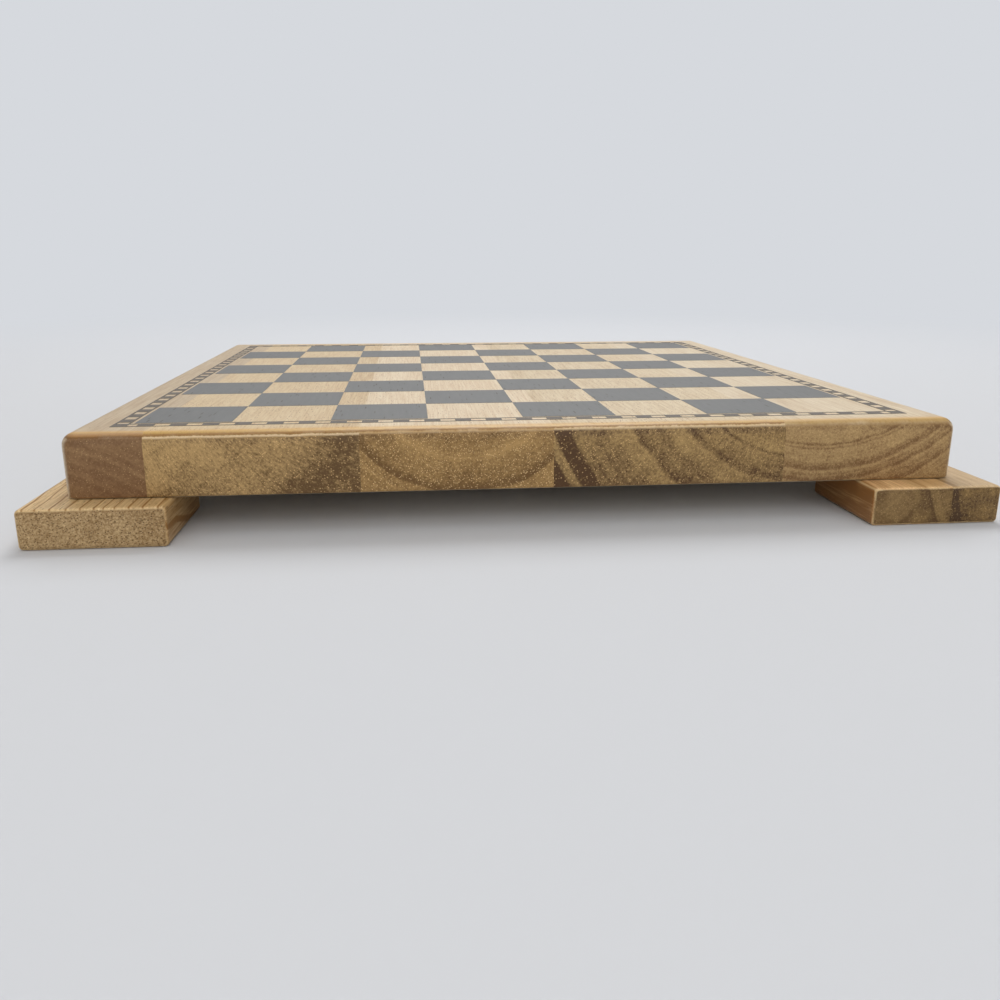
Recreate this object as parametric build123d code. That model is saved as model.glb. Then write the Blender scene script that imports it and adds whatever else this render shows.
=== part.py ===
from build123d import *
import os

# Checkerboard: a square board of five edge-glued hardwood staves with a
# printed 8 x 8 field and dashed border, standing on four square corner feet
# that reach out past its sides. Millimetres, +Z up. The origin is the middle
# of the footprint, on the surface the feet stand on. The front edge is at -Y.

# Printed field and border
square = 32.0            # side of one playing square
squares_per_side = 8
field_gap = 1.1          # bare line inside the border, which trims the outermost squares
border_line = 0.65       # each of the two lines that bound the border
dash_zone = 3.7          # width of the dashes between those lines
dash_count = 25          # dark dashes between two corner blocks
dash_length = 5.3
end_light = 3.0          # bare space between a corner block and the first dash
ink_thickness = 0.1
ink_corner = 0.25        # rounding of a printed corner, so squares only nearly meet

# Board
plain_rim = 12.0         # bare wood outside the border
board_thickness = 20.5
top_round = 4.0
bottom_round = 1.0
corner_round = 4.5       # more than the top edge, so that its round can turn the corner
left_stave_width = 25.0
right_stave_width = 60.0
middle_stave_shares = [66, 62, 77]   # the three staves between share the rest like this

# Corner feet
foot_side = 44.0
foot_thickness = 12.7
foot_overhang = 11.0     # reach past the board's edge, both ways
foot_ease = 1.5          # eased edges and corners
outer_strip_width = 17.1   # strips of the front right foot; the inner one takes the rest
middle_strip_width = 13.0

# Countersunk wood screws, two up through each foot into the board
screw_length = 25.0
screw_head_diameter = 8.0
screw_head_rim = 0.4     # straight rim under the flat of the head
screw_thread_diameter = 4.0
screw_core_diameter = 2.8
thread_pitch = 1.8
thread_crest = 0.3       # flat on top of each ridge
tip_length = 3.0
head_recess = 0.5        # how far the head lies above the floor
cross_width = 1.1        # slots of the cross recess
cross_span = 4.2
cross_depth = 1.5
screw_off_outer_joint = 5.65   # both screws miss the glue joints of the front right foot:
screw_off_inner_joint = 2.65   # one stands inside its outer joint, one inside its inner one
thread_clearance = 0.15
seat_clearance = 0.05
tip_clearance = 0.3

# Worked out from the sizes above
field_side = squares_per_side * square
border_width = dash_zone + 2 * border_line
border_inner = field_side
border_outer = border_inner + 2 * border_width
board_side = border_outer + 2 * plain_rim
board_bottom = foot_thickness
board_top = board_bottom + board_thickness
half_board = board_side / 2
dash_pitch = (border_inner - 2 * end_light - dash_length) / (dash_count - 1)
foot_outer = half_board + foot_overhang
foot_inner = foot_outer - foot_side
foot_centre = (foot_outer + foot_inner) / 2
outer_joint = foot_outer - outer_strip_width
inner_joint = outer_joint - middle_strip_width
thread_radius = screw_thread_diameter / 2
core_radius = screw_core_diameter / 2
head_radius = screw_head_diameter / 2
cone_height = head_radius - core_radius   # a 90 degree countersink

LOW = (Align.CENTER, Align.CENTER, Align.MIN)


def rounded_board():
    """The glued-up blank: upright corners, then the top and bottom edges."""
    blank = Pos(0, 0, board_bottom) * Box(board_side, board_side, board_thickness, align=LOW)
    blank = fillet(blank.edges().filter_by(Axis.Z), corner_round)
    blank = fillet(blank.faces().sort_by(Axis.Z)[-1].edges(), top_round)
    return fillet(blank.faces().sort_by(Axis.Z)[0].edges(), bottom_round)


def cut_in_strips(blank, planes):
    """Pieces of a blank, from the left, between upright planes across X."""
    box = blank.bounding_box()
    strips = []
    for left, right in zip(planes, planes[1:]):
        slab = Box(right - left, 2 * box.size.Y, 2 * box.size.Z)
        strips.append(blank & Pos((left + right) / 2, box.center().Y, box.center().Z) * slab)
    return strips


def stave_planes():
    """The board's left face, its four glue joints and its right face."""
    joint = left_stave_width - half_board
    planes = [-half_board, joint]
    shared = board_side - left_stave_width - right_stave_width
    for share in middle_stave_shares:
        joint += shared * share / sum(middle_stave_shares)
        planes.append(joint)
    return planes + [half_board]


def screw_places(side_x, side_y):
    """The two screws of one foot, on a diagonal across its corner of the board."""
    outer = outer_joint - screw_off_outer_joint
    inner = inner_joint - screw_off_inner_joint
    return [(side_x * outer, side_y * inner), (side_x * inner, side_y * outer)]


def screw_hole(x, y):
    """The room a screw takes: countersink, then one bore past its tip."""
    rim_top = head_recess + screw_head_rim
    wide = head_radius + seat_clearance
    narrow = thread_radius + thread_clearance
    sink = Cylinder(wide, rim_top, align=LOW)
    cone = Pos(0, 0, rim_top) * Cone(wide, narrow, wide - narrow, align=LOW)
    bore = Cylinder(narrow, head_recess + screw_length + tip_clearance, align=LOW)
    return Pos(x, y, 0) * (sink + cone + bore)


def screw():
    """One screw standing on its head, its flat at z = 0 and its tip up."""
    neck = screw_head_rim + cone_height
    shoulder = screw_length - tip_length
    outline = [
        (0, 0),
        (head_radius, 0),
        (head_radius, screw_head_rim),
        (core_radius, neck),
    ]
    flank = (thread_pitch - thread_crest) / 2
    ridge_count = int((shoulder - neck) / thread_pitch)
    for ridge in range(ridge_count):
        foot = shoulder - (ridge_count - ridge) * thread_pitch
        outline += [
            (core_radius, foot),
            (thread_radius, foot + flank),
            (thread_radius, foot + flank + thread_crest),
        ]
    outline += [(core_radius, shoulder), (0, screw_length)]
    body = revolve(Plane.XZ * make_face(Polyline(outline, close=True)), Axis.Z)
    slot = Box(cross_span, cross_width, cross_depth, align=LOW)
    return body - slot - Rot(0, 0, 90) * slot


def foot_blank(side_x, side_y):
    """One square foot with eased edges, in its corner."""
    foot = Pos(side_x * foot_centre, side_y * foot_centre, 0) * Box(
        foot_side, foot_side, foot_thickness, align=LOW
    )
    foot = fillet(foot.edges().filter_by(Axis.Z), foot_ease)
    rims = foot.faces().sort_by(Axis.Z)
    return fillet(rims[0].edges() + rims[-1].edges(), foot_ease)


def ink_film(sketch):
    """A flat printed shape with the ink's thickness, on the playing surface."""
    return Pos(0, 0, board_top) * extrude(sketch, ink_thickness)


def dark_squares():
    """Every second square, beginning with the front left one."""
    shape = RectangleRounded(square, square, ink_corner)
    inside = Rectangle(field_side - 2 * field_gap, field_side - 2 * field_gap)
    first = -field_side / 2 + square / 2
    return [
        ink_film(Pos(first + column * square, first + row * square) * shape & inside)
        for row in range(squares_per_side)
        for column in range(squares_per_side)
        if (row + column) % 2 == 0
    ]


def border():
    """A frame of ink with a row of bare windows along each side."""
    frame = Rectangle(border_outer, border_outer) - Rectangle(border_inner, border_inner)
    first_dash = -border_inner / 2 + end_light
    edges = [-border_inner / 2]
    for dash in range(dash_count):
        edges += [first_dash + dash * dash_pitch, first_dash + dash * dash_pitch + dash_length]
    edges.append(border_inner / 2)
    windows = Sketch()
    for start, end in zip(edges[0::2], edges[1::2]):
        window = Rectangle(end - start, dash_zone)
        windows += Pos((start + end) / 2, -(border_inner + border_width) / 2) * window
    for turn in range(4):
        frame -= Rot(0, 0, 90 * turn) * windows
    return ink_film(frame)


def write(name, solids):
    """One file for each named piece or group of like pieces."""
    flat = [solid for shape in solids for solid in shape.solids()]
    whole = flat[0] if len(flat) == 1 else Compound(children=flat)
    export_step(whole, f"parts/{name}.step")


os.makedirs("parts", exist_ok=True)

corners = {
    "front_left": (-1, -1),
    "front_right": (1, -1),
    "back_left": (-1, 1),
    "back_right": (1, 1),
}
places = [place for sides in corners.values() for place in screw_places(*sides)]
holes = [screw_hole(x, y) for x, y in places]

drilled_board = rounded_board() - holes
for number, stave in enumerate(cut_in_strips(drilled_board, stave_planes()), 1):
    write(f"stave_{number}", [stave])

for corner, (side_x, side_y) in corners.items():
    foot = foot_blank(side_x, side_y) - holes
    if corner == "front_right":
        strips = cut_in_strips(foot, [foot_inner, inner_joint, outer_joint, foot_outer])
        for name, strip in zip(("inner", "middle", "outer"), strips):
            write(f"foot_{corner}_{name}_strip", [strip])
    else:
        write(f"foot_{corner}", [foot])

one_screw = screw()
write("foot_screws", [Pos(x, y, head_recess) * one_screw for x, y in places])
write("printed_dark_squares", dark_squares())
write("printed_border", [border()])
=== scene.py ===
import math

import bmesh
import bpy
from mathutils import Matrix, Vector


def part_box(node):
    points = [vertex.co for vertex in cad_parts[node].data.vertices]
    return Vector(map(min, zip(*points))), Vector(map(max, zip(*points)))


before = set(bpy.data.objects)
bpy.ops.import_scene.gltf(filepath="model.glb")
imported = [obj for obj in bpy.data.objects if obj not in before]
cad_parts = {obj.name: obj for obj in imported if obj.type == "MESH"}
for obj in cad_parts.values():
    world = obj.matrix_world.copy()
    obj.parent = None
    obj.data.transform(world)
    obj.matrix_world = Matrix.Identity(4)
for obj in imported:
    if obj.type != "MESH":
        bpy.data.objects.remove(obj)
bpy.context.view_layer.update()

# A checkerboard of five glued hardwood staves on four corner feet.
# Objects are in metres. Lengths in materials are millimetres, as a maker would give them.
MM = 0.001

# Heights and the front face, read from the frame
board_low, board_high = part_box("stave_1")
BOARD_FRONT = board_low[1] / MM
BOARD_TOP = board_high[2] / MM

# Where the finish changes tone, and where painted shade and painted sheen begin, in millimetres
LOW_SHADE_STARTS = 4.0    # below the top of the board
LOW_SHADE_FULL = 19.0
AMBER_STARTS = 8.5       # in from the front and back faces
AMBER_FULL = 4.0         # where the rounded edge begins

# Wood pattern, in millimetres
RING_WOBBLE = 2.2        # how far the noise moves a ring
LINE_SPACING = 3.4       # thin dark lines on long grain
STEADY_DEPTH = 60.0      # the pith's wandering fades in over this
BUMP_DEPTH = 0.1         # relief of fibres and vessels

# Roughness of lacquer on each kind of grain
LONG_GRAIN_ROUGHNESS = 0.42
END_GRAIN_ROUGHNESS = 0.62


def linear(hex_colour, alpha=1.0):
    """An sRGB hex value as Blender's linear colour."""
    parts = [int(hex_colour[i:i + 2], 16) / 255 for i in (0, 2, 4)]
    flat = [p / 12.92 if p <= 0.04045 else ((p + 0.055) / 1.055) ** 2.4 for p in parts]
    return (*flat, alpha)


def node(tree, kind, inputs=None, stops=None, **settings):
    """Adds a node with its settings, fills its inputs and returns its outputs.

    Stops are the (place, colour) pairs of a colour ramp."""
    made = tree.nodes.new(kind)
    for name, value in settings.items():
        setattr(made, name, value)
    for key, value in (inputs or {}).items():
        if isinstance(value, bpy.types.NodeSocket):
            tree.links.new(value, made.inputs[key])
        else:
            made.inputs[key].default_value = value
    if stops:
        band = made.color_ramp
        for place, colour in stops[1:-1]:
            band.elements.new(place).color = colour
        for element, (place, colour) in ((band.elements[0], stops[0]), (band.elements[-1], stops[-1])):
            element.position = place
            element.color = colour
    return made.outputs


def material(name):
    """A new material with an empty tree, a Principled shader and its output."""
    made = bpy.data.materials.new(name)
    made.use_nodes = True
    tree = made.node_tree
    tree.nodes.clear()
    shader = tree.nodes.new("ShaderNodeBsdfPrincipled")
    output = tree.nodes.new("ShaderNodeOutputMaterial")
    tree.links.new(shader.outputs[0], output.inputs[0])
    return made, tree, shader


def grey(value):
    """A ramp colour that carries one number."""
    return (value, value, value, 1.0)


# Sawn, sanded and lacquered hardwood
# Growth rings lie round a pith line that runs along Y, so one pattern gives arcs on end
# grain and stripes on long grain. Vessels show as specks on one and as flecks on the other.
def wood(name, pith, rings, end, face, pores, drift=(0.0, 0.0), rays=0.3, bands=1.0, stripes=0.35,
         lines=0.0, grit=1.9, edge=None, worn=0.15, clouds=0.7, painted_side_shade=0.0, seed=0.0):
    """pith is (x, z) at the board's front, and drift how far that moves for each mm back.
    rings are (radius, darkness) pairs. bands is how strongly they show on end grain, and stripes
    on long grain, where lines is the strength of thin dark lines between them.
    end and face are the (light, dark) colours of end grain and long grain.
    pores are the vessels: their spacing and size, how many show, and their colours.
    rays is the strength of the streaks that point at the pith, and grit of the saw's fine
    marks, both on end grain. clouds is how far patches differ, and seed shifts the patterns.
    edge is the colour ramp of the rounded top edge over the end grain, from upright to flat, with
    painted highlight, reflection and sheen in it.
    worn is how far sharp edges are rubbed pale, and the side shade is how far faces turned sideways are
    darkened with painted shade."""
    made, tree, shader = material(name)
    place = node(tree, "ShaderNodeTexCoord")["Object"]
    mm = node(tree, "ShaderNodeVectorMath", {0: place, "Scale": 1 / MM}, operation="SCALE")[0]
    axes = node(tree, "ShaderNodeSeparateXYZ", {0: mm})
    along = node(tree, "ShaderNodeMath", {0: axes["Y"], 1: -BOARD_FRONT}, operation="ADD")[0]

    # The pith drifts and wanders as it goes back, so stripes on the top are never straight.
    # At the front it starts where pith says, so the rings there keep their places.
    wander = node(tree, "ShaderNodeTexNoise", {
        "W": node(tree, "ShaderNodeMath", {0: along, 1: 100 * seed}, operation="ADD")[0],
        "Scale": 0.012, "Detail": 1.0,
    }, noise_dimensions="1D")[0]
    wander = node(tree, "ShaderNodeMath", {0: wander, 1: 0.5}, operation="SUBTRACT")[0]
    fade_in = node(tree, "ShaderNodeMapRange", {"Value": along, "From Max": STEADY_DEPTH})[0]
    wander = node(tree, "ShaderNodeMath", {0: wander, 1: fade_in}, operation="MULTIPLY")[0]
    back = node(tree, "ShaderNodeVectorMath", {
        0: along, 1: (-drift[0], 0.0, -drift[1]), 2: (-pith[0], 0.0, -pith[1]),
    }, operation="MULTIPLY_ADD")[0]
    back = node(tree, "ShaderNodeVectorMath", {
        0: wander, 1: (-14.0, 0.0, -6.0), 2: back,
    }, operation="MULTIPLY_ADD")[0]
    arm = node(tree, "ShaderNodeVectorMath", {
        0: mm, 1: (1.0, 0.0, 1.0), 2: back,
    }, operation="MULTIPLY_ADD")[0]
    reach = node(tree, "ShaderNodeVectorMath", {0: arm}, operation="LENGTH")["Value"]
    arm_axes = node(tree, "ShaderNodeSeparateXYZ", {0: arm})
    rise = node(tree, "ShaderNodeMath", {0: arm_axes["Z"]}, operation="ABSOLUTE")[0]
    bearing = node(tree, "ShaderNodeMath", {0: arm_axes["X"], 1: rise}, operation="ARCTAN2")[0]

    # Rings are out of round by up to about a millimetre
    drawn_out = node(tree, "ShaderNodeVectorMath", {
        0: mm, 1: (1.0, 0.06, 1.0), 2: (seed, seed, seed),
    }, operation="MULTIPLY_ADD")[0]
    uneven = node(tree, "ShaderNodeTexNoise", {"Vector": drawn_out, "Scale": 0.09, "Detail": 3.0})[0]
    uneven = node(tree, "ShaderNodeMath", {0: uneven, 1: 0.5}, operation="SUBTRACT")[0]
    radius = node(tree, "ShaderNodeMath", {
        0: uneven, 1: RING_WOBBLE, 2: reach,
    }, operation="MULTIPLY_ADD")[0]

    # Darkness of each ring, then finer growth between the given ones, then cloudy patches
    first, last = rings[0][0], rings[-1][0]
    share = node(tree, "ShaderNodeMapRange", {
        "Value": radius, "From Min": first, "From Max": last,
    })[0]
    ring = node(tree, "ShaderNodeValToRGB", {0: share}, stops=[
        ((r - first) / (last - first), grey(dark)) for r, dark in rings
    ])[0]
    growth = node(tree, "ShaderNodeTexNoise", {
        "W": radius, "Scale": 0.55, "Detail": 3.0, "Roughness": 0.65,
    }, noise_dimensions="1D")[0]
    ring = node(tree, "ShaderNodeMath", {0: growth, 1: 0.5, 2: ring}, operation="MULTIPLY_ADD")[0]
    cloud = node(tree, "ShaderNodeTexNoise", {"Vector": drawn_out, "Scale": 0.16, "Detail": 2.0})[0]
    shade = node(tree, "ShaderNodeMath", {
        0: cloud, 1: clouds, 2: ring,
    }, operation="MULTIPLY_ADD")[0]
    shade = node(tree, "ShaderNodeMath", {0: shade, 1: 0.25 + clouds / 2}, operation="SUBTRACT")[0]

    # Places round the pith: arc length, distance back and radius
    polar = node(tree, "ShaderNodeCombineXYZ", {
        0: node(tree, "ShaderNodeMath", {0: bearing, 1: (first + last) / 2}, operation="MULTIPLY")[0],
        1: along, 2: reach,
    })[0]
    streak = node(tree, "ShaderNodeTexNoise", {
        "Vector": node(tree, "ShaderNodeVectorMath", {
            0: polar, 1: (1.5, 0.02, 0.35), 2: (seed, 0.0, seed),
        }, operation="MULTIPLY_ADD")[0],
        "Scale": 1.0, "Detail": 3.0, "Roughness": 0.6,
    })[0]
    streak = node(tree, "ShaderNodeMath", {0: streak, 1: 0.5}, operation="SUBTRACT")[0]
    fibre = node(tree, "ShaderNodeTexNoise", {
        "Vector": node(tree, "ShaderNodeVectorMath", {
            0: mm, 1: (1.0, 0.035, 1.0),
        }, operation="MULTIPLY")[0],
        "Scale": 1.5, "Detail": 4.0, "Roughness": 0.7,
    })[0]
    fine = node(tree, "ShaderNodeMath", {0: fibre, 1: 0.5}, operation="SUBTRACT")[0]

    # End grain drinks the finish and looks darker; a rounded edge lies between the two
    normal = node(tree, "ShaderNodeNewGeometry")["Normal"]
    turned = node(tree, "ShaderNodeSeparateXYZ", {
        0: node(tree, "ShaderNodeVectorMath", {0: normal}, operation="ABSOLUTE")[0],
    })
    on_end = node(tree, "ShaderNodeMapRange", {
        "Value": turned["Y"], "From Min": 0.6, "From Max": 0.86,
    }, interpolation_type="SMOOTHSTEP")[0]
    # Faint bands fall back to one even darkness
    even = 0.4
    shade_end = node(tree, "ShaderNodeMath", {
        0: shade, 1: bands, 2: even * (1 - bands),
    }, operation="MULTIPLY_ADD")[0]
    shade_end = node(tree, "ShaderNodeMath", {
        0: streak, 1: 2 * rays, 2: shade_end,
    }, operation="MULTIPLY_ADD")[0]
    # Painted shade: the end grain is darker low down, where less light reaches it
    painted_low_shade = node(tree, "ShaderNodeMapRange", {
        "Value": axes["Z"], "From Min": BOARD_TOP - LOW_SHADE_STARTS,
        "From Max": BOARD_TOP - LOW_SHADE_FULL, "To Max": 0.22,
    })[0]
    shade_end = node(tree, "ShaderNodeMath", {0: shade_end, 1: painted_low_shade}, operation="ADD")[0]
    # Painted shade too over the rounded edge above the end grain, darker the more it turns up towards
    # the light. Slope is 0 on upright faces, 1 on top
    slope = node(tree, "ShaderNodeSeparateXYZ", {0: normal})["Z"]
    painted_slope_shade = node(tree, "ShaderNodeMapRange", {
        "Value": slope, "From Min": 0.02, "From Max": 0.35, "To Max": 0.22,
    })[0]
    shade_end = node(tree, "ShaderNodeMath", {0: shade_end, 1: painted_slope_shade}, operation="ADD")[0]
    shade_end = node(tree, "ShaderNodeMath", {
        0: fine, 1: grit, 2: shade_end,
    }, operation="MULTIPLY_ADD", use_clamp=True)[0]
    # Long grain has the stripes, thin dark lines and, on some pieces, sides darkened with painted shade
    shade_face = node(tree, "ShaderNodeMath", {
        0: shade, 1: stripes, 2: 0.12,
    }, operation="MULTIPLY_ADD")[0]
    between = node(tree, "ShaderNodeTexVoronoi", {
        "W": radius, "Scale": 1 / LINE_SPACING,
    }, voronoi_dimensions="1D", feature="DISTANCE_TO_EDGE")["Distance"]
    thin = node(tree, "ShaderNodeMapRange", {
        "Value": between, "From Min": 0.1, "From Max": 0.03, "To Max": lines,
    })[0]
    shade_face = node(tree, "ShaderNodeMath", {0: shade_face, 1: thin}, operation="ADD")[0]
    # Painted shade on the faces that turn to the left and right
    shade_face = node(tree, "ShaderNodeMath", {
        0: turned["X"], 1: painted_side_shade, 2: shade_face,
    }, operation="MULTIPLY_ADD")[0]
    shade_face = node(tree, "ShaderNodeMath", {
        0: fine, 1: 2.0, 2: shade_face,
    }, operation="MULTIPLY_ADD", use_clamp=True)[0]
    end_colour = node(tree, "ShaderNodeMix", {
        0: shade_end, 6: linear(end[0]), 7: linear(end[1]),
    }, data_type="RGBA")[2]
    face_colour = node(tree, "ShaderNodeMix", {
        0: shade_face, 6: linear(face[0]), 7: linear(face[1]),
    }, data_type="RGBA")[2]
    colour = node(tree, "ShaderNodeMix", {
        0: on_end, 6: face_colour, 7: end_colour,
    }, data_type="RGBA")[2]

    # Vessels are long tubes, and each shows more or less than its neighbour
    spacing = pores["spacing"]
    vessel = node(tree, "ShaderNodeTexVoronoi", {
        "Vector": node(tree, "ShaderNodeVectorMath", {
            0: polar, 1: (1 / spacing, 0.22 / spacing, pores["squeeze"] / spacing), 2: (seed, seed, 0.0),
        }, operation="MULTIPLY_ADD")[0],
        "Scale": 1.0,
    })
    inside = node(tree, "ShaderNodeMapRange", {
        "Value": vessel["Distance"], "From Min": pores["size"], "From Max": 0.4 * pores["size"],
    }, interpolation_type="SMOOTHSTEP")[0]
    luck = node(tree, "ShaderNodeSeparateXYZ", {0: vessel["Color"]})
    kept_end = node(tree, "ShaderNodeMapRange", {
        "Value": luck["X"], "From Min": 1 - pores["share_end"], "From Max": 1.35 - pores["share_end"],
        "To Max": pores["end_strength"],
    })[0]
    kept_face = node(tree, "ShaderNodeMapRange", {
        "Value": luck["X"], "From Min": 1 - pores["share_face"], "From Max": 1.15 - pores["share_face"],
        "To Max": pores["face_strength"],
    })[0]
    kept = node(tree, "ShaderNodeMix", {0: on_end, 2: kept_face, 3: kept_end})[0]
    speck = node(tree, "ShaderNodeMath", {0: inside, 1: kept}, operation="MULTIPLY")[0]
    speck_colour = node(tree, "ShaderNodeMix", {
        0: on_end, 6: linear(pores["face"]), 7: linear(pores["end"]),
    }, data_type="RGBA")[2]
    colour = node(tree, "ShaderNodeMix", {
        0: speck, 6: colour, 7: speck_colour,
    }, data_type="RGBA")[2]

    # Sharp edges are rubbed through to paler wood
    widest = node(tree, "ShaderNodeMath", {0: turned["X"], 1: turned["Y"]}, operation="MAXIMUM")[0]
    widest = node(tree, "ShaderNodeMath", {0: widest, 1: turned["Z"]}, operation="MAXIMUM")[0]
    rubbed = node(tree, "ShaderNodeMapRange", {
        "Value": widest, "From Min": 0.92, "From Max": 0.78, "To Max": worn,
    }, interpolation_type="SMOOTHSTEP")[0]
    broken = node(tree, "ShaderNodeMath", {0: fine, 1: 1.2, 2: cloud}, operation="MULTIPLY_ADD")[0]
    broken = node(tree, "ShaderNodeMapRange", {
        "Value": broken, "From Min": 0.35, "From Max": 0.65,
    })[0]
    rubbed = node(tree, "ShaderNodeMath", {0: rubbed, 1: broken}, operation="MULTIPLY")[0]
    if edge:
        # The upper edge has colours of its own, so only the lower one is rubbed here
        low = node(tree, "ShaderNodeMapRange", {
            "Value": slope, "From Min": -0.1, "From Max": -0.3,
        })[0]
        rubbed = node(tree, "ShaderNodeMath", {0: rubbed, 1: low}, operation="MULTIPLY")[0]
    colour = node(tree, "ShaderNodeMix", {
        0: rubbed, 6: colour, 7: linear("DEC08E"),
    }, data_type="RGBA")[2]

    if edge:
        # Painted shade under the lower edge, where the board's underside lies in shadow
        under = node(tree, "ShaderNodeMapRange", {
            "Value": slope, "From Min": -0.6, "From Max": -0.8, "To Max": 0.85,
        })[0]
        round_part = node(tree, "ShaderNodeMath", {0: turned["Z"], 1: 0.99}, operation="LESS_THAN")[0]
        under = node(tree, "ShaderNodeMath", {0: under, 1: round_part}, operation="MULTIPLY")[0]
        colour = node(tree, "ShaderNodeMix", {
            0: under, 6: colour, 7: linear("33200E"),
        }, data_type="RGBA")[2]

        # The lacquer pools amber along the front and back of the top, and a painted sheen adds to that
        # tone
        gap = node(tree, "ShaderNodeMath", {0: axes["Y"]}, operation="ABSOLUTE")[0]
        amber_with_painted_sheen = node(tree, "ShaderNodeMapRange", {
            "Value": gap, "From Min": -BOARD_FRONT - AMBER_STARTS,
            "From Max": -BOARD_FRONT - AMBER_FULL, "To Max": 0.8,
        })[0]
        amber_with_painted_sheen = node(tree, "ShaderNodeMath", {0: amber_with_painted_sheen, 1: amber_with_painted_sheen}, operation="MULTIPLY")[0]
        flat_part = node(tree, "ShaderNodeMapRange", {
            "Value": slope, "From Min": 0.8, "From Max": 0.97,
        })[0]
        amber_with_painted_sheen = node(tree, "ShaderNodeMath", {0: amber_with_painted_sheen, 1: flat_part}, operation="MULTIPLY")[0]
        colour = node(tree, "ShaderNodeMix", {
            0: amber_with_painted_sheen, 6: colour, 7: linear("D8A64C"),
        }, data_type="RGBA")[2]

        # Over the rounded edge it ends in a brown line, a painted dark reflection, and under that the
        # edge is rubbed pale and carries a painted highlight
        grain = node(tree, "ShaderNodeMath", {0: fine, 1: streak}, operation="ADD")[0]
        wave = node(tree, "ShaderNodeMath", {0: cloud, 1: 0.14, 2: slope}, operation="MULTIPLY_ADD")[0]
        wave = node(tree, "ShaderNodeMath", {0: wave, 1: 0.07}, operation="SUBTRACT")[0]
        ragged = node(tree, "ShaderNodeMath", {
            0: grain, 1: 0.12, 2: wave,
        }, operation="MULTIPLY_ADD")[0]
        band = node(tree, "ShaderNodeValToRGB", {0: ragged}, stops=[
            (place, linear(hex_colour, strength)) for place, hex_colour, strength in edge
        ])
        near_end = node(tree, "ShaderNodeMapRange", {
            "Value": turned["Y"], "From Min": 0.05, "From Max": 0.3,
        })[0]
        cover = node(tree, "ShaderNodeMath", {0: band["Alpha"], 1: near_end}, operation="MULTIPLY")[0]
        patchy = node(tree, "ShaderNodeMapRange", {
            "Value": cloud, "From Min": 0.25, "From Max": 0.6, "To Min": 0.8,
        })[0]
        cover = node(tree, "ShaderNodeMath", {0: cover, 1: patchy}, operation="MULTIPLY")[0]
        colour = node(tree, "ShaderNodeMix", {
            0: cover, 6: colour, 7: band["Color"],
        }, data_type="RGBA")[2]

        # Dirt stays in the fibres there
        dirt = node(tree, "ShaderNodeMath", {
            0: fine, 1: 1.8,
        }, operation="MULTIPLY", use_clamp=True)[0]
        dirt = node(tree, "ShaderNodeMath", {0: dirt, 1: cover}, operation="MULTIPLY")[0]
        colour = node(tree, "ShaderNodeMix", {
            0: dirt, 6: colour, 7: linear("7A5222"),
        }, data_type="RGBA")[2]

    tree.links.new(colour, shader.inputs["Base Color"])
    # Finish sinks into end grain, which stays duller than the long grain
    rough = node(tree, "ShaderNodeMapRange", {
        "Value": on_end, "To Min": LONG_GRAIN_ROUGHNESS, "To Max": END_GRAIN_ROUGHNESS,
    })[0]
    tree.links.new(rough, shader.inputs["Roughness"])

    # Vessels are hollows, and fibres stand a little proud
    height = node(tree, "ShaderNodeMath", {0: speck, 1: -0.6, 2: fibre}, operation="MULTIPLY_ADD")[0]
    bump = node(tree, "ShaderNodeBump", {
        "Strength": 0.25, "Distance": BUMP_DEPTH * MM, "Height": height,
    })[0]
    tree.links.new(bump, shader.inputs["Normal"])
    return made


# Vessels filled with pale dust from sanding, which glint on dark end grain
FILLED_PORES = {
    "spacing": 0.54, "squeeze": 1.0, "size": 0.38, "share_end": 0.8, "share_face": 0.3,
    "end": "EDC98E", "end_strength": 0.9, "face": "875334", "face_strength": 0.9,
}
SPARSE_PORES = {
    **FILLED_PORES, "spacing": 0.46, "size": 0.36, "share_end": 0.45, "end_strength": 0.45,
    "share_face": 0.15,
}
STREAKY_PORES = {
    **FILLED_PORES, "spacing": 0.48, "squeeze": 0.6, "size": 0.37, "share_end": 0.7, "end_strength": 0.7,
    "end": "E6BE80", "share_face": 0.45,
}
FINE_PORES = {
    **FILLED_PORES, "spacing": 0.42, "share_end": 0.7, "end_strength": 0.35, "share_face": 0.12,
}
# Wide open vessels of a coarse wood, dark with old finish
OPEN_PORES = {
    "spacing": 0.5, "squeeze": 0.7, "size": 0.52, "share_end": 0.75, "share_face": 0.25,
    "end": "5A3E1A", "end_strength": 0.85, "face": "6E4A20", "face_strength": 0.6,
}


def rubbed_and_painted_gloss_edge(line, pale):
    """Stops over the rounded edge, by slope: 0 on the upright face, 1 on the top.

    line is the slope at which the rubbed line is palest, and pale is its colour there. That line is
    rubbed wood with a painted highlight on it, the brown above it a painted dark reflection, and the
    amber a painted sheen on the lacquer's own tone."""
    above = 1 - line
    # The lacquer's amber, with a painted sheen on it
    amber = "C29A48"
    return [
        (line - 0.16, "8A6636", 0.0), (line - 0.05, pale, 0.7), (line + 0.03, pale, 0.95),
        (line + 0.25 * above, "90661E", 0.9), (line + 0.5 * above, "8A5E18", 0.95),
        (line + 0.7 * above, "AE843A", 0.95), (line + 0.9 * above, amber, 0.95), (1.0, amber, 0.9),
    ]


# The same for the two outer staves, whose edges are rubbed less. Their stops also hold painted
# reflection and sheen.
AMBER_EDGE = [
    (0.45, "8E6C3C", 0.0), (0.65, "9C7A48", 0.7), (0.8, "AE8C50", 0.9), (0.92, "B48F4C", 0.95),
    (1.0, "BE9A58", 0.85),
]
BROWN_EDGE = [
    (0.52, "7E5A34", 0.0), (0.62, "7C5626", 0.5), (0.68, "74480E", 0.9), (0.75, "7E5414", 0.95),
    (0.82, "A0723A", 0.95), (0.9, "AC8250", 0.95), (0.96, "B48E5C", 0.9), (1.0, "BC9866", 0.8),
]

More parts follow.
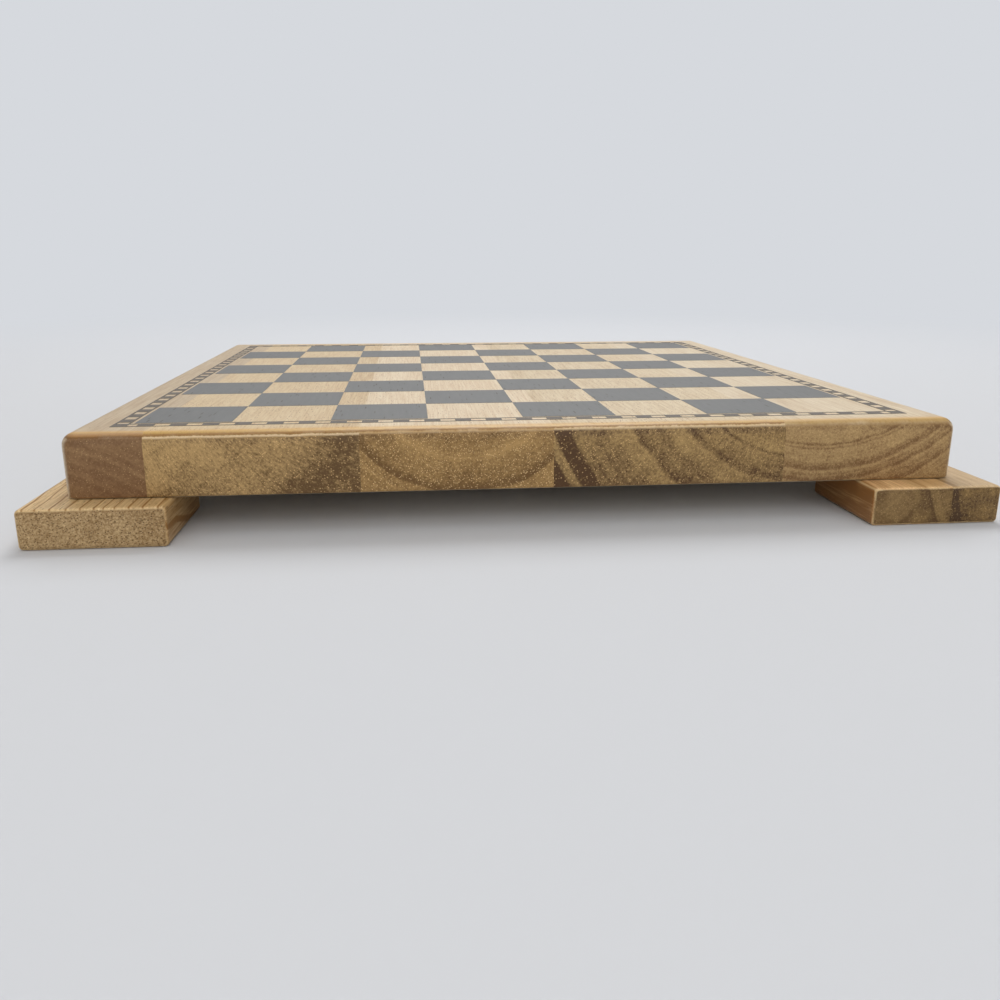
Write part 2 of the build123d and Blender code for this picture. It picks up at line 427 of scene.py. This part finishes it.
# The staves from the left. Piths and the radii of rings are in millimetres
STAVES = {
    "stave_1": dict(
        pith=(-158, BOARD_TOP - 69), drift=(0.02, -0.01), seed=11.0, pores=SPARSE_PORES, edge=BROWN_EDGE,
        rings=[
            (50, 0.4), (56, 0.45), (57.5, 0.75), (59, 0.3), (61.4, 0.8), (62.8, 0.3), (65, 0.75),
            (66.5, 0.3), (68.6, 0.7), (70, 0.3), (72.4, 0.65), (76, 0.45),
        ],
        end=("96744C", "724F2C"), face=("CCBA9E", "A4845F"),
    ),
    "stave_2": dict(
        pith=(-140, BOARD_TOP + 38), drift=(0.03, 0.02), seed=23.0, pores=STREAKY_PORES,
        edge=rubbed_and_painted_gloss_edge(0.63, "E6CAA0"), rays=0.8, stripes=0.25, clouds=0.9,
        rings=[
            (38, 0.1), (55, 0.15), (66, 0.35), (74, 0.2), (81, 0.35), (86, 0.7), (91, 0.95),
            (97, 0.65), (104, 0.7),
        ],
        end=("B89660", "5E421A"), face=("DAC49E", "B38C5C"),
    ),
    "stave_3": dict(
        pith=(-20.3, BOARD_TOP + 23.8), drift=(-0.02, 0.01), seed=37.0, pores=FILLED_PORES,
        edge=rubbed_and_painted_gloss_edge(0.73, "B8925A"),
        rings=[
            (18, 0.5), (30.5, 0.5), (32, 0.3), (33.5, 0.1), (35.5, 0.35), (39, 0.45), (42, 0.5),
            (43.3, 0.8), (44.3, 0.85), (45.1, 0.3), (50, 0.25), (60, 0.35),
        ],
        end=("B28D54", "6A4A1C"), face=("E8D6B8", "C4A27A"),
    ),
    "stave_4": dict(
        pith=(91, BOARD_TOP + 31), drift=(0.02, -0.02), seed=41.0, pores=STREAKY_PORES,
        edge=rubbed_and_painted_gloss_edge(0.76, "D8BA8C"), rays=0.5, stripes=0.25,
        rings=[
            (25, 0.35), (41.5, 0.35), (42.5, 0.7), (43.5, 0.3), (48, 0.45), (51, 0.6), (52, 0.2),
            (56, 0.2), (58, 0.5), (63, 0.5), (65, 0.8), (66, 0.15), (70, 0.15), (74, 0.5),
            (83.5, 0.45), (84.8, 1.0), (89, 1.0), (89.8, 0.2), (92, 0.25), (93, 0.95), (96, 0.9),
        ],
        end=("AC8C56", "4C2E04"), face=("E1CFAF", "B39264"),
    ),
    "stave_5": dict(
        pith=(98.3, BOARD_TOP + 48), drift=(-0.02, 0.015), seed=53.0, pores=FINE_PORES,
        edge=AMBER_EDGE, rays=0.2,
        rings=[
            (45, 0.35), (49, 0.6), (49.8, 0.25), (55, 0.35), (56, 0.7), (56.5, 0.3), (57.1, 0.65),
            (57.8, 0.25), (62, 0.45), (64, 0.8), (65, 0.3), (68, 0.75), (69, 0.25), (73, 0.75),
            (74, 0.25), (80, 0.45),
        ],
        end=("B89864", "725028"), face=("E4D4B8", "BA9A72"),
    ),
}

# The feet. All but two of these pieces are of the same wood
STRIP = dict(pores=SPARSE_PORES, stripes=0.8, worn=0.75, clouds=1.1)
FEET = {
    # Feet given a side shade have painted shade on their sides
    "foot_front_left": dict(
        pith=(-232, -34), seed=61.0, pores=OPEN_PORES, bands=0.7, stripes=0.5, lines=0.7,
        grit=2.6, worn=0.4, painted_side_shade=0.3,
        rings=[
            (70, 0.35), (86, 0.3), (92, 0.4), (99, 0.3), (107, 0.4), (116, 0.35), (122, 0.6),
            (130, 0.6),
        ],
        end=("D0B282", "8A6A3E"), face=("EACC98", "946628"),
    ),
    "foot_front_right_inner_strip": dict(
        **STRIP, pith=(60, 66), seed=71.0, painted_side_shade=0.6,
        rings=[
            (60, 0.4), (76, 0.35), (78, 0.6), (80, 0.35), (88, 0.4), (90, 0.7), (92, 0.4),
            (110, 0.5),
        ],
        end=("967848", "62461C"), face=("FFD49A", "9A6832"),
    ),
    "foot_front_right_middle_strip": dict(
        **STRIP, pith=(190, 32), seed=83.0,
        rings=[
            (50, 0.6), (56, 0.5), (60, 0.35), (62.6, 0.15), (63.6, 0.9), (65, 0.6), (68, 0.4),
            (80, 0.4),
        ],
        end=("947644", "563A10"), face=("EEC890", "A87840"),
    ),
    "foot_front_right_outer_strip": dict(
        **STRIP, pith=(200, 19), seed=97.0,
        rings=[
            (40, 0.45), (50, 0.35), (57, 0.45), (59.6, 0.5), (60.2, 1.0), (61.6, 0.85), (62.5, 0.7),
        ],
        end=("9A7A44", "442A04"), face=("D6BC94", "9C7848"),
    ),
    "foot_back_left": dict(
        **STRIP, pith=(-120, 90), seed=103.0,
        rings=[(60, 0.4), (84, 0.3), (90, 0.6), (96, 0.35), (110, 0.5)],
        end=("A88A5E", "72542F"), face=("E0BC88", "9C7038"),
    ),
    "foot_back_right": dict(
        pith=(150, -80), seed=113.0, pores=OPEN_PORES, stripes=0.9, worn=0.9, rays=0.2,
        rings=[(60, 0.4), (84, 0.3), (86, 0.7), (88, 0.3), (93, 0.7), (95, 0.35), (110, 0.5)],
        end=("BC9E70", "8A6A40"), face=("E2BA80", "94642F"),
    ),
}


# Screen-printed ink
def printed_ink(name, dark, pale):
    """A thin film of ink. It dries dull, and misses some of the vessels under it, which lie
    about a millimetre apart and are ten times as long as wide."""
    made, tree, shader = material(name)
    place = node(tree, "ShaderNodeTexCoord")["Object"]
    thin = node(tree, "ShaderNodeVectorMath", {
        0: place, 1: (1 / MM, 0.1 / MM, 1 / MM),
    }, operation="MULTIPLY")[0]
    vessel = node(tree, "ShaderNodeTexVoronoi", {"Vector": thin, "Scale": 1.1})
    inside = node(tree, "ShaderNodeMapRange", {
        "Value": vessel["Distance"], "From Min": 0.36, "From Max": 0.15,
    }, interpolation_type="SMOOTHSTEP")[0]
    luck = node(tree, "ShaderNodeSeparateXYZ", {0: vessel["Color"]})["X"]
    kept = node(tree, "ShaderNodeMapRange", {"Value": luck, "From Min": 0.7, "To Max": 0.9})[0]
    speck = node(tree, "ShaderNodeMath", {0: inside, 1: kept}, operation="MULTIPLY")[0]
    cloud = node(tree, "ShaderNodeTexNoise", {"Vector": thin, "Scale": 0.6, "Detail": 4.0})[0]
    flat = node(tree, "ShaderNodeMix", {
        0: cloud, 6: linear(dark), 7: linear(pale),
    }, data_type="RGBA")[2]
    colour = node(tree, "ShaderNodeMix", {
        0: speck, 6: flat, 7: linear("45382F"),
    }, data_type="RGBA")[2]
    tree.links.new(colour, shader.inputs["Base Color"])
    shader.inputs["Roughness"].default_value = 0.6
    return made


# Zinc plated steel
def zinc():
    """Pale bluish metal, dulled by the plating bath in faint clouds about a millimetre across."""
    made, tree, shader = material("zinc_plated_steel")
    place = node(tree, "ShaderNodeTexCoord")["Object"]
    cloud = node(tree, "ShaderNodeTexNoise", {"Vector": place, "Scale": 900.0, "Detail": 3.0})[0]
    colour = node(tree, "ShaderNodeMix", {
        0: cloud, 6: linear("A9AEB4"), 7: linear("C9CBCC"),
    }, data_type="RGBA")[2]
    tree.links.new(colour, shader.inputs["Base Color"])
    shader.inputs["Metallic"].default_value = 1.0
    rough = node(tree, "ShaderNodeMapRange", {"Value": cloud, "To Min": 0.25, "To Max": 0.45})[0]
    tree.links.new(rough, shader.inputs["Roughness"])
    return made


def finish_with(node_name, made):
    """Puts one material on a piece from the frame."""
    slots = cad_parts[node_name].data.materials
    slots.clear()
    slots.append(made)


for piece, kind in (*STAVES.items(), *FEET.items()):
    finish_with(piece, wood(f"lacquered_hardwood_{piece}", **kind))
finish_with("printed_dark_squares", printed_ink("screen_printed_slate_ink", "68696A", "767776"))
finish_with("printed_border", printed_ink("screen_printed_thin_ink", "5E574E", "6C655C"))
finish_with("foot_screws", zinc())


# Backdrop paper
def backdrop_paper():
    """Matt pale grey paper, which keeps the soft shadow and gives no shine."""
    made, tree, shader = material("pale_backdrop_paper")
    shader.inputs["Base Color"].default_value = linear("D2D4D8")
    shader.inputs["Roughness"].default_value = 0.9
    shader.inputs["Specular IOR Level"].default_value = 0.1
    place = node(tree, "ShaderNodeTexCoord")["Object"]
    away = node(tree, "ShaderNodeVectorMath", {0: place}, operation="LENGTH")["Value"]
    # Past the soft shadow the camera sees more and more of one even tone
    shadow_ends, all_even = 0.25, 1.1
    far = node(tree, "ShaderNodeMapRange", {
        "Value": away, "From Min": shadow_ends, "From Max": all_even,
    }, interpolation_type="SMOOTHSTEP")[0]
    seen = node(tree, "ShaderNodeLightPath")["Is Camera Ray"]
    share = node(tree, "ShaderNodeMath", {0: far, 1: seen}, operation="MULTIPLY")[0]
    even = node(tree, "ShaderNodeEmission", {"Color": linear("D6D9DE"), "Strength": 1.0})[0]
    both = node(tree, "ShaderNodeMixShader", {0: share, 1: shader.outputs[0], 2: even})[0]
    tree.links.new(both, tree.nodes["Material Output"].inputs[0])
    return made


# The studio
def stage_floor():
    """A pale floor that curves up into a wall all round. Far off it shows one even tone."""
    shape = bmesh.new()
    radius, bend, height, steps = 3.0, 1.0, 3.0, 12
    points = [Vector((0, 0, 0)), Vector((radius - bend, 0, 0))]
    for step in range(1, steps + 1):
        angle = math.pi / 2 * step / steps
        points.append(Vector((radius - bend + bend * math.sin(angle), 0, bend - bend * math.cos(angle))))
    points.append(Vector((radius, 0, height)))
    line = [shape.verts.new(point) for point in points]
    edges = [shape.edges.new(pair) for pair in zip(line, line[1:])]
    bmesh.ops.spin(
        shape, geom=line + edges, axis=(0, 0, 1), cent=(0, 0, 0), angle=2 * math.pi, steps=64,
        use_merge=True, use_duplicate=False,
    )
    bmesh.ops.remove_doubles(shape, verts=shape.verts, dist=1e-5)
    bmesh.ops.recalc_face_normals(shape, faces=shape.faces)
    for side in shape.faces:
        side.smooth = True
    mesh = bpy.data.meshes.new("studio_floor")
    shape.to_mesh(mesh)
    shape.free()
    floor = bpy.data.objects.new("studio_floor", mesh)
    bpy.context.collection.objects.link(floor)
    mesh.materials.append(backdrop_paper())


def lamp(name, place, size, power):
    """A soft square lamp that points at the board."""
    light = bpy.data.lights.new(name, "AREA")
    light.size = size
    light.energy = power
    held = bpy.data.objects.new(name, light)
    held.location = place
    board_middle = Vector((0, 0, 0.02))
    held.rotation_euler = (board_middle - Vector(place)).to_track_quat("-Z", "Y").to_euler()
    bpy.context.collection.objects.link(held)


def light_scene():
    """Soft room light, a window behind the board and a weaker fill before it."""
    world = bpy.data.worlds.new("soft_room_light")
    bpy.context.scene.world = world
    world.use_nodes = True
    backing = world.node_tree.nodes["Background"]
    backing.inputs["Color"].default_value = linear("F8F5F0")
    backing.inputs["Strength"].default_value = 0.85
    lamp("window_lamp", (0.2, 1.0, 1.5), 1.0, 16.0)
    lamp("front_fill", (0.1, -1.6, 0.8), 1.2, 9.0)


def place_camera():
    """Low over the front edge, turned a little to the right, fitted to the printed squares."""
    lens = bpy.data.cameras.new("camera")
    lens.lens = 32.216
    lens.sensor_width = 36.0
    lens.clip_start = 0.01
    held = bpy.data.objects.new("camera", lens)
    held.location = (-0.037337, -0.423887, 0.085776)
    held.rotation_euler = [math.radians(turn) for turn in (74.727, -0.027, -5.686)]
    bpy.context.collection.objects.link(held)
    bpy.context.scene.camera = held


stage_floor()
light_scene()
place_camera()
bpy.context.scene.view_settings.view_transform = "Standard"
